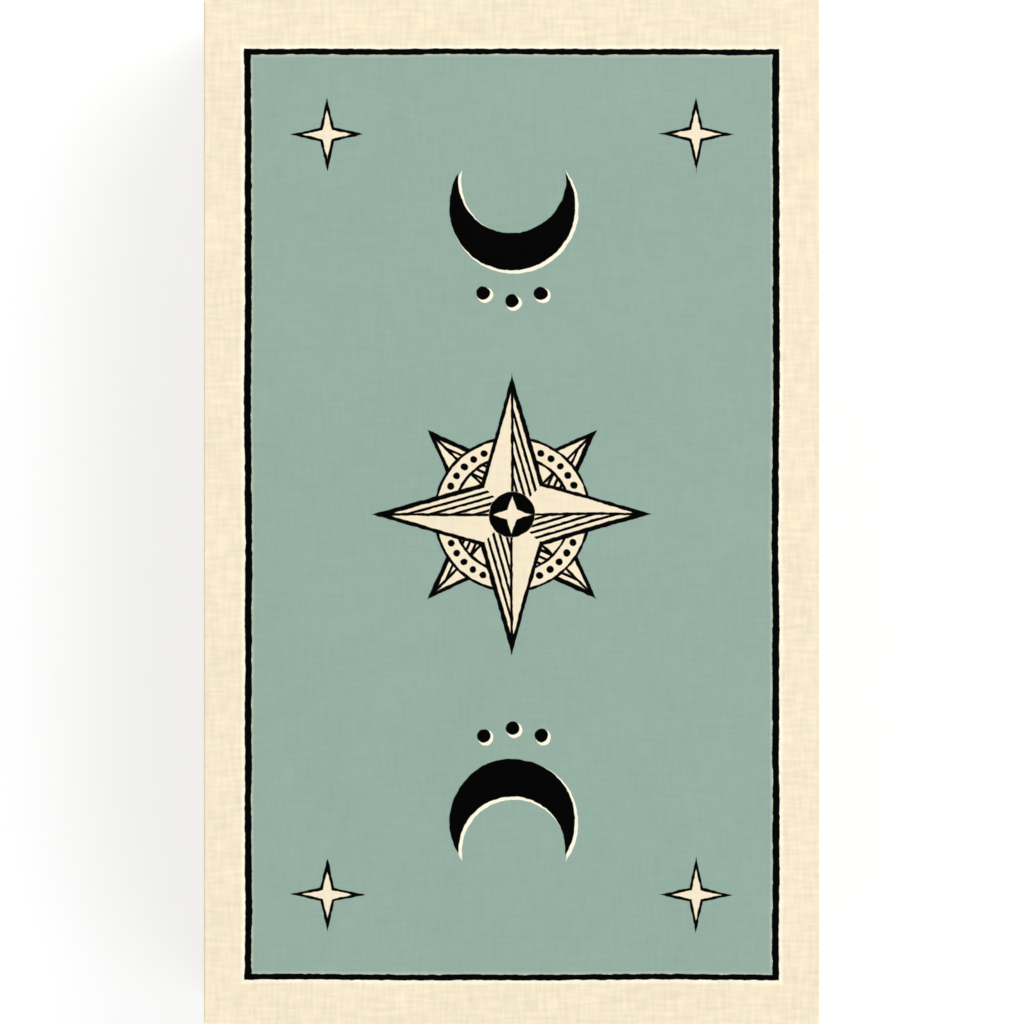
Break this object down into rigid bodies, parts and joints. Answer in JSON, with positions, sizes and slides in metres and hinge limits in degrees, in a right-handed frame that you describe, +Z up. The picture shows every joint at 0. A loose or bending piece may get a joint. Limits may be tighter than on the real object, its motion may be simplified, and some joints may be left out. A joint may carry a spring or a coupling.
{
  "type": "tarot card deck",
  "caption": "Squared-up tarot deck lying face down: loose oblong cards with bordered backs, which fan about a thumb pinch, lift at a cut, draw from the middle and turn over on top.",
  "frame": {"origin": "under the middle of the deck, in the plane of the lowest card's face", "axes": "+Y to the top edge of the printed backs, +X to their right edge, +Z up through the deck"},
  "size_m": [0.0722, 0.1202, 0.0296],
  "materials": {
    "printed_card": "satin coated card stock, sage and black print with a cream border"
  },
  "bodies": {
    "the_fool": {"the_fool": "printed_card"},
    "the_magician": {"the_magician": "printed_card"},
    "the_high_priestess": {"the_high_priestess": "printed_card"},
    "the_empress": {"the_empress": "printed_card"},
    "the_emperor": {"the_emperor": "printed_card"},
    "the_hierophant": {"the_hierophant": "printed_card"},
    "the_lovers": {"the_lovers": "printed_card"},
    "the_chariot": {"the_chariot": "printed_card"},
    "strength": {"strength": "printed_card"},
    "the_hermit": {"the_hermit": "printed_card"},
    "wheel_of_fortune": {"wheel_of_fortune": "printed_card"},
    "justice": {"justice": "printed_card"},
    "the_hanged_man": {"the_hanged_man": "printed_card"},
    "death": {"death": "printed_card"},
    "temperance": {"temperance": "printed_card"},
    "the_devil": {"the_devil": "printed_card"},
    "the_tower": {"the_tower": "printed_card"},
    "the_star": {"the_star": "printed_card"},
    "the_moon": {"the_moon": "printed_card"},
    "the_sun": {"the_sun": "printed_card"},
    "judgement": {"judgement": "printed_card"},
    "the_world": {"the_world": "printed_card"},
    "ace_and_two_of_wands": {"ace_and_two_of_wands": "printed_card"},
    "three_and_four_of_wands": {"three_and_four_of_wands": "printed_card"},
    "five_and_six_of_wands": {"five_and_six_of_wands": "printed_card"},
    "seven_and_eight_of_wands": {"seven_and_eight_of_wands": "printed_card"},
    "nine_and_ten_of_wands": {"nine_and_ten_of_wands": "printed_card"},
    "page_of_wands": {"page_of_wands": "printed_card"},
    "knight_of_wands": {"knight_of_wands": "printed_card"},
    "queen_of_wands": {"queen_of_wands": "printed_card"},
    "king_of_wands": {"king_of_wands": "printed_card"},
    "ace_and_two_of_cups": {"ace_and_two_of_cups": "printed_card"},
    "three_and_four_of_cups": {"three_and_four_of_cups": "printed_card"},
    "five_and_six_of_cups": {"five_and_six_of_cups": "printed_card"},
    "seven_and_eight_of_cups": {"seven_and_eight_of_cups": "printed_card"},
    "nine_and_ten_of_cups": {"nine_and_ten_of_cups": "printed_card"},
    "page_of_cups": {"page_of_cups": "printed_card"},
    "knight_of_cups": {"knight_of_cups": "printed_card"},
    "queen_of_cups": {"queen_of_cups": "printed_card"},
    "king_of_cups": {"king_of_cups": "printed_card"},
    "ace_and_two_of_swords": {"ace_and_two_of_swords": "printed_card"},
    "three_and_four_of_swords": {"three_and_four_of_swords": "printed_card"},
    "five_and_six_of_swords": {"five_and_six_of_swords": "printed_card"},
    "seven_and_eight_of_swords": {"seven_and_eight_of_swords": "printed_card"},
    "nine_and_ten_of_swords": {"nine_and_ten_of_swords": "printed_card"},
    "page_of_swords": {"page_of_swords": "printed_card"},
    "knight_of_swords": {"knight_of_swords": "printed_card"},
    "queen_of_swords": {"queen_of_swords": "printed_card"},
    "king_of_swords": {"king_of_swords": "printed_card"},
    "ace_and_two_of_coins": {"ace_and_two_of_coins": "printed_card"},
    "three_and_four_of_coins": {"three_and_four_of_coins": "printed_card"},
    "five_and_six_of_coins": {"five_and_six_of_coins": "printed_card"},
    "seven_and_eight_of_coins": {"seven_and_eight_of_coins": "printed_card"},
    "nine_and_ten_of_coins": {"nine_and_ten_of_coins": "printed_card"},
    "page_of_coins": {"page_of_coins": "printed_card"},
    "knight_of_coins": {"knight_of_coins": "printed_card"},
    "queen_of_coins": {"queen_of_coins": "printed_card"},
    "king_of_coins": {"king_of_coins": "printed_card"}
  },
  "joints": [
    {"name": "fan_the_magician", "type": "hinge", "parent": "the_fool", "child": "the_magician", "pos_m": [0, -0.042, 0.00038], "axis": [0, 0, -1], "range_deg": [0, 3.2]},
    {"name": "fan_the_high_priestess", "type": "hinge", "parent": "the_fool", "child": "the_high_priestess", "pos_m": [0, -0.042, 0.00076], "axis": [0, 0, -1], "range_deg": [0, 6.4]},
    {"name": "fan_the_empress", "type": "hinge", "parent": "the_fool", "child": "the_empress", "pos_m": [0, -0.042, 0.00114], "axis": [0, 0, -1], "range_deg": [0, 9.6]},
    {"name": "fan_the_emperor", "type": "hinge", "parent": "the_fool", "child": "the_emperor", "pos_m": [0, -0.042, 0.00152], "axis": [0, 0, -1], "range_deg": [0, 12.8]},
    {"name": "fan_the_hierophant", "type": "hinge", "parent": "the_fool", "child": "the_hierophant", "pos_m": [0, -0.042, 0.0019], "axis": [0, 0, -1], "range_deg": [0, 16]},
    {"name": "fan_the_lovers", "type": "hinge", "parent": "the_fool", "child": "the_lovers", "pos_m": [0, -0.042, 0.00228], "axis": [0, 0, -1], "range_deg": [0, 19.2]},
    {"name": "fan_the_chariot", "type": "hinge", "parent": "the_fool", "child": "the_chariot", "pos_m": [0, -0.042, 0.00266], "axis": [0, 0, -1], "range_deg": [0, 22.4]},
    {"name": "fan_strength", "type": "hinge", "parent": "the_fool", "child": "strength", "pos_m": [0, -0.042, 0.00304], "axis": [0, 0, -1], "range_deg": [0, 25.6]},
    {"name": "fan_the_hermit", "type": "hinge", "parent": "the_fool", "child": "the_hermit", "pos_m": [0, -0.042, 0.00342], "axis": [0, 0, -1], "range_deg": [0, 28.8]},
    {"name": "fan_wheel_of_fortune", "type": "hinge", "parent": "the_fool", "child": "wheel_of_fortune", "pos_m": [0, -0.042, 0.0038], "axis": [0, 0, -1], "range_deg": [0, 32]},
    {"name": "fan_justice", "type": "hinge", "parent": "the_fool", "child": "justice", "pos_m": [0, -0.042, 0.00418], "axis": [0, 0, -1], "range_deg": [0, 35.2]},
    {"name": "fan_the_hanged_man", "type": "hinge", "parent": "the_fool", "child": "the_hanged_man", "pos_m": [0, -0.042, 0.00456], "axis": [0, 0, -1], "range_deg": [0, 38.4]},
    {"name": "fan_death", "type": "hinge", "parent": "the_fool", "child": "death", "pos_m": [0, -0.042, 0.00494], "axis": [0, 0, -1], "range_deg": [0, 41.6]},
    {"name": "fan_temperance", "type": "hinge", "parent": "the_fool", "child": "temperance", "pos_m": [0, -0.042, 0.00532], "axis": [0, 0, -1], "range_deg": [0, 44.8]},
    {"name": "fan_the_devil", "type": "hinge", "parent": "the_fool", "child": "the_devil", "pos_m": [0, -0.042, 0.0057], "axis": [0, 0, -1], "range_deg": [0, 48]},
    {"name": "fan_the_tower", "type": "hinge", "parent": "the_fool", "child": "the_tower", "pos_m": [0, -0.042, 0.00608], "axis": [0, 0, -1], "range_deg": [0, 51.2]},
    {"name": "fan_the_star", "type": "hinge", "parent": "the_fool", "child": "the_star", "pos_m": [0, -0.042, 0.00646], "axis": [0, 0, -1], "range_deg": [0, 54.4]},
    {"name": "fan_the_moon", "type": "hinge", "parent": "the_fool", "child": "the_moon", "pos_m": [0, -0.042, 0.00684], "axis": [0, 0, -1], "range_deg": [0, 57.6]},
    {"name": "fan_the_sun", "type": "hinge", "parent": "the_fool", "child": "the_sun", "pos_m": [0, -0.042, 0.00722], "axis": [0, 0, -1], "range_deg": [0, 60.8]},
    {"name": "fan_judgement", "type": "hinge", "parent": "the_fool", "child": "judgement", "pos_m": [0, -0.042, 0.0076], "axis": [0, 0, -1], "range_deg": [0, 64]},
    {"name": "fan_the_world", "type": "hinge", "parent": "the_fool", "child": "the_world", "pos_m": [0, -0.042, 0.00798], "axis": [0, 0, -1], "range_deg": [0, 67.2]},
    {"name": "fan_ace_and_two_of_wands", "type": "hinge", "parent": "the_fool", "child": "ace_and_two_of_wands", "pos_m": [0, -0.042, 0.00836], "axis": [0, 0, -1], "range_deg": [0, 70.4]},
    {"name": "fan_three_and_four_of_wands", "type": "hinge", "parent": "the_fool", "child": "three_and_four_of_wands", "pos_m": [0, -0.042, 0.00912], "axis": [0, 0, -1], "range_deg": [0, 73.6]},
    {"name": "fan_five_and_six_of_wands", "type": "hinge", "parent": "the_fool", "child": "five_and_six_of_wands", "pos_m": [0, -0.042, 0.00988], "axis": [0, 0, -1], "range_deg": [0, 76.8]},
    {"name": "fan_seven_and_eight_of_wands", "type": "hinge", "parent": "the_fool", "child": "seven_and_eight_of_wands", "pos_m": [0, -0.042, 0.01064], "axis": [0, 0, -1], "range_deg": [0, 80]},
    {"name": "fan_nine_and_ten_of_wands", "type": "hinge", "parent": "the_fool", "child": "nine_and_ten_of_wands", "pos_m": [0, -0.042, 0.0114], "axis": [0, 0, -1], "range_deg": [0, 83.2]},
    {"name": "fan_page_of_wands", "type": "hinge", "parent": "the_fool", "child": "page_of_wands", "pos_m": [0, -0.042, 0.01216], "axis": [0, 0, -1], "range_deg": [0, 86.4]},
    {"name": "fan_knight_of_wands", "type": "hinge", "parent": "the_fool", "child": "knight_of_wands", "pos_m": [0, -0.042, 0.01254], "axis": [0, 0, -1], "range_deg": [0, 89.6]},
    {"name": "fan_queen_of_wands", "type": "hinge", "parent": "the_fool", "child": "queen_of_wands", "pos_m": [0, -0.042, 0.01292], "axis": [0, 0, -1], "range_deg": [0, 92.8]},
    {"name": "fan", "type": "hinge", "parent": "the_fool", "child": "king_of_wands", "pos_m": [0, -0.042, 0.0133], "axis": [0, 0, -1], "range_deg": [0, 96]},
    {"name": "cut", "type": "slide", "parent": "king_of_wands", "child": "ace_and_two_of_cups", "axis": [0, 0, 1], "range_m": [0, 0.08]},
    {"name": "fan_three_and_four_of_cups", "type": "hinge", "parent": "ace_and_two_of_cups", "child": "three_and_four_of_cups", "pos_m": [0, -0.042, 0.01444], "axis": [0, 0, -1], "range_deg": [0, 3.2]},
    {"name": "fan_five_and_six_of_cups", "type": "hinge", "parent": "ace_and_two_of_cups", "child": "five_and_six_of_cups", "pos_m": [0, -0.042, 0.0152], "axis": [0, 0, -1], "range_deg": [0, 6.4]},
    {"name": "fan_seven_and_eight_of_cups", "type": "hinge", "parent": "ace_and_two_of_cups", "child": "seven_and_eight_of_cups", "pos_m": [0, -0.042, 0.01596], "axis": [0, 0, -1], "range_deg": [0, 9.6]},
    {"name": "fan_nine_and_ten_of_cups", "type": "hinge", "parent": "ace_and_two_of_cups", "child": "nine_and_ten_of_cups", "pos_m": [0, -0.042, 0.01672], "axis": [0, 0, -1], "range_deg": [0, 12.8]},
    {"name": "draw", "type": "slide", "parent": "nine_and_ten_of_cups", "child": "page_of_cups", "axis": [0, 1, 0], "range_m": [0, 0.121]},
    {"name": "fan_knight_of_cups", "type": "hinge", "parent": "ace_and_two_of_cups", "child": "knight_of_cups", "pos_m": [0, -0.042, 0.01786], "axis": [0, 0, -1], "range_deg": [0, 16]},
    {"name": "fan_queen_of_cups", "type": "hinge", "parent": "ace_and_two_of_cups", "child": "queen_of_cups", "pos_m": [0, -0.042, 0.01824], "axis": [0, 0, -1], "range_deg": [0, 19.2]},
    {"name": "fan_king_of_cups", "type": "hinge", "parent": "ace_and_two_of_cups", "child": "king_of_cups", "pos_m": [0, -0.042, 0.01862], "axis": [0, 0, -1], "range_deg": [0, 22.4]},
    {"name": "fan_ace_and_two_of_swords", "type": "hinge", "parent": "ace_and_two_of_cups", "child": "ace_and_two_of_swords", "pos_m": [0, -0.042, 0.019], "axis": [0, 0, -1], "range_deg": [0, 25.6]},
    {"name": "fan_three_and_four_of_swords", "type": "hinge", "parent": "ace_and_two_of_cups", "child": "three_and_four_of_swords", "pos_m": [0, -0.042, 0.01976], "axis": [0, 0, -1], "range_deg": [0, 28.8]},
    {"name": "fan_five_and_six_of_swords", "type": "hinge", "parent": "ace_and_two_of_cups", "child": "five_and_six_of_swords", "pos_m": [0, -0.042, 0.02052], "axis": [0, 0, -1], "range_deg": [0, 32]},
    {"name": "fan_seven_and_eight_of_swords", "type": "hinge", "parent": "ace_and_two_of_cups", "child": "seven_and_eight_of_swords", "pos_m": [0, -0.042, 0.02128], "axis": [0, 0, -1], "range_deg": [0, 35.2]},
    {"name": "fan_nine_and_ten_of_swords", "type": "hinge", "parent": "ace_and_two_of_cups", "child": "nine_and_ten_of_swords", "pos_m": [0, -0.042, 0.02204], "axis": [0, 0, -1], "range_deg": [0, 38.4]},
    {"name": "fan_page_of_swords", "type": "hinge", "parent": "ace_and_two_of_cups", "child": "page_of_swords", "pos_m": [0, -0.042, 0.0228], "axis": [0, 0, -1], "range_deg": [0, 41.6]},
    {"name": "fan_knight_of_swords", "type": "hinge", "parent": "ace_and_two_of_cups", "child": "knight_of_swords", "pos_m": [0, -0.042, 0.02318], "axis": [0, 0, -1], "range_deg": [0, 44.8]},
    {"name": "fan_queen_of_swords", "type": "hinge", "parent": "ace_and_two_of_cups", "child": "queen_of_swords", "pos_m": [0, -0.042, 0.02356], "axis": [0, 0, -1], "range_deg": [0, 48]},
    {"name": "fan_king_of_swords", "type": "hinge", "parent": "ace_and_two_of_cups", "child": "king_of_swords", "pos_m": [0, -0.042, 0.02394], "axis": [0, 0, -1], "range_deg": [0, 51.2]},
    {"name": "fan_ace_and_two_of_coins", "type": "hinge", "parent": "ace_and_two_of_cups", "child": "ace_and_two_of_coins", "pos_m": [0, -0.042, 0.02432], "axis": [0, 0, -1], "range_deg": [0, 54.4]},
    {"name": "fan_three_and_four_of_coins", "type": "hinge", "parent": "ace_and_two_of_cups", "child": "three_and_four_of_coins", "pos_m": [0, -0.042, 0.02508], "axis": [0, 0, -1], "range_deg": [0, 57.6]},
    {"name": "fan_five_and_six_of_coins", "type": "hinge", "parent": "ace_and_two_of_cups", "child": "five_and_six_of_coins", "pos_m": [0, -0.042, 0.02584], "axis": [0, 0, -1], "range_deg": [0, 60.8]},
    {"name": "fan_seven_and_eight_of_coins", "type": "hinge", "parent": "ace_and_two_of_cups", "child": "seven_and_eight_of_coins", "pos_m": [0, -0.042, 0.0266], "axis": [0, 0, -1], "range_deg": [0, 64]},
    {"name": "fan_nine_and_ten_of_coins", "type": "hinge", "parent": "ace_and_two_of_cups", "child": "nine_and_ten_of_coins", "pos_m": [0, -0.042, 0.02736], "axis": [0, 0, -1], "range_deg": [0, 67.2]},
    {"name": "fan_page_of_coins", "type": "hinge", "parent": "ace_and_two_of_cups", "child": "page_of_coins", "pos_m": [0, -0.042, 0.02812], "axis": [0, 0, -1], "range_deg": [0, 70.4]},
    {"name": "fan_knight_of_coins", "type": "hinge", "parent": "ace_and_two_of_cups", "child": "knight_of_coins", "pos_m": [0, -0.042, 0.0285], "axis": [0, 0, -1], "range_deg": [0, 73.6]},
    {"name": "fan_queen_of_coins", "type": "hinge", "parent": "ace_and_two_of_cups", "child": "queen_of_coins", "pos_m": [0, -0.042, 0.02888], "axis": [0, 0, -1], "range_deg": [0, 76.8]},
    {"name": "turn", "type": "hinge", "parent": "queen_of_coins", "child": "king_of_coins", "pos_m": [0.03646, 0, 0.02926], "axis": [0, 1, 0], "range_deg": [0, 180]}
  ],
  "couplings": [
    {"joint": "fan_the_magician", "follows": "fan", "ratio": 0.033333},
    {"joint": "fan_the_high_priestess", "follows": "fan", "ratio": 0.066667},
    {"joint": "fan_the_empress", "follows": "fan", "ratio": 0.1},
    {"joint": "fan_the_emperor", "follows": "fan", "ratio": 0.13333},
    {"joint": "fan_the_hierophant", "follows": "fan", "ratio": 0.16667},
    {"joint": "fan_the_lovers", "follows": "fan", "ratio": 0.2},
    {"joint": "fan_the_chariot", "follows": "fan", "ratio": 0.23333},
    {"joint": "fan_strength", "follows": "fan", "ratio": 0.26667},
    {"joint": "fan_the_hermit", "follows": "fan", "ratio": 0.3},
    {"joint": "fan_wheel_of_fortune", "follows": "fan", "ratio": 0.33333},
    {"joint": "fan_justice", "follows": "fan", "ratio": 0.36667},
    {"joint": "fan_the_hanged_man", "follows": "fan", "ratio": 0.4},
    {"joint": "fan_death", "follows": "fan", "ratio": 0.43333},
    {"joint": "fan_temperance", "follows": "fan", "ratio": 0.46667},
    {"joint": "fan_the_devil", "follows": "fan", "ratio": 0.5},
    {"joint": "fan_the_tower", "follows": "fan", "ratio": 0.53333},
    {"joint": "fan_the_star", "follows": "fan", "ratio": 0.56667},
    {"joint": "fan_the_moon", "follows": "fan", "ratio": 0.6},
    {"joint": "fan_the_sun", "follows": "fan", "ratio": 0.63333},
    {"joint": "fan_judgement", "follows": "fan", "ratio": 0.66667},
    {"joint": "fan_the_world", "follows": "fan", "ratio": 0.7},
    {"joint": "fan_ace_and_two_of_wands", "follows": "fan", "ratio": 0.73333},
    {"joint": "fan_three_and_four_of_wands", "follows": "fan", "ratio": 0.76667},
    {"joint": "fan_five_and_six_of_wands", "follows": "fan", "ratio": 0.8},
    {"joint": "fan_seven_and_eight_of_wands", "follows": "fan", "ratio": 0.83333},
    {"joint": "fan_nine_and_ten_of_wands", "follows": "fan", "ratio": 0.86667},
    {"joint": "fan_page_of_wands", "follows": "fan", "ratio": 0.9},
    {"joint": "fan_knight_of_wands", "follows": "fan", "ratio": 0.93333},
    {"joint": "fan_queen_of_wands", "follows": "fan", "ratio": 0.96667},
    {"joint": "fan_three_and_four_of_cups", "follows": "fan", "ratio": 0.033333},
    {"joint": "fan_five_and_six_of_cups", "follows": "fan", "ratio": 0.066667},
    {"joint": "fan_seven_and_eight_of_cups", "follows": "fan", "ratio": 0.1},
    {"joint": "fan_nine_and_ten_of_cups", "follows": "fan", "ratio": 0.13333},
    {"joint": "fan_knight_of_cups", "follows": "fan", "ratio": 0.16667},
    {"joint": "fan_queen_of_cups", "follows": "fan", "ratio": 0.2},
    {"joint": "fan_king_of_cups", "follows": "fan", "ratio": 0.23333},
    {"joint": "fan_ace_and_two_of_swords", "follows": "fan", "ratio": 0.26667},
    {"joint": "fan_three_and_four_of_swords", "follows": "fan", "ratio": 0.3},
    {"joint": "fan_five_and_six_of_swords", "follows": "fan", "ratio": 0.33333},
    {"joint": "fan_seven_and_eight_of_swords", "follows": "fan", "ratio": 0.36667},
    {"joint": "fan_nine_and_ten_of_swords", "follows": "fan", "ratio": 0.4},
    {"joint": "fan_page_of_swords", "follows": "fan", "ratio": 0.43333},
    {"joint": "fan_knight_of_swords", "follows": "fan", "ratio": 0.46667},
    {"joint": "fan_queen_of_swords", "follows": "fan", "ratio": 0.5},
    {"joint": "fan_king_of_swords", "follows": "fan", "ratio": 0.53333},
    {"joint": "fan_ace_and_two_of_coins", "follows": "fan", "ratio": 0.56667},
    {"joint": "fan_three_and_four_of_coins", "follows": "fan", "ratio": 0.6},
    {"joint": "fan_five_and_six_of_coins", "follows": "fan", "ratio": 0.63333},
    {"joint": "fan_seven_and_eight_of_coins", "follows": "fan", "ratio": 0.66667},
    {"joint": "fan_nine_and_ten_of_coins", "follows": "fan", "ratio": 0.7},
    {"joint": "fan_page_of_coins", "follows": "fan", "ratio": 0.73333},
    {"joint": "fan_knight_of_coins", "follows": "fan", "ratio": 0.76667},
    {"joint": "fan_queen_of_coins", "follows": "fan", "ratio": 0.8}
  ]
}
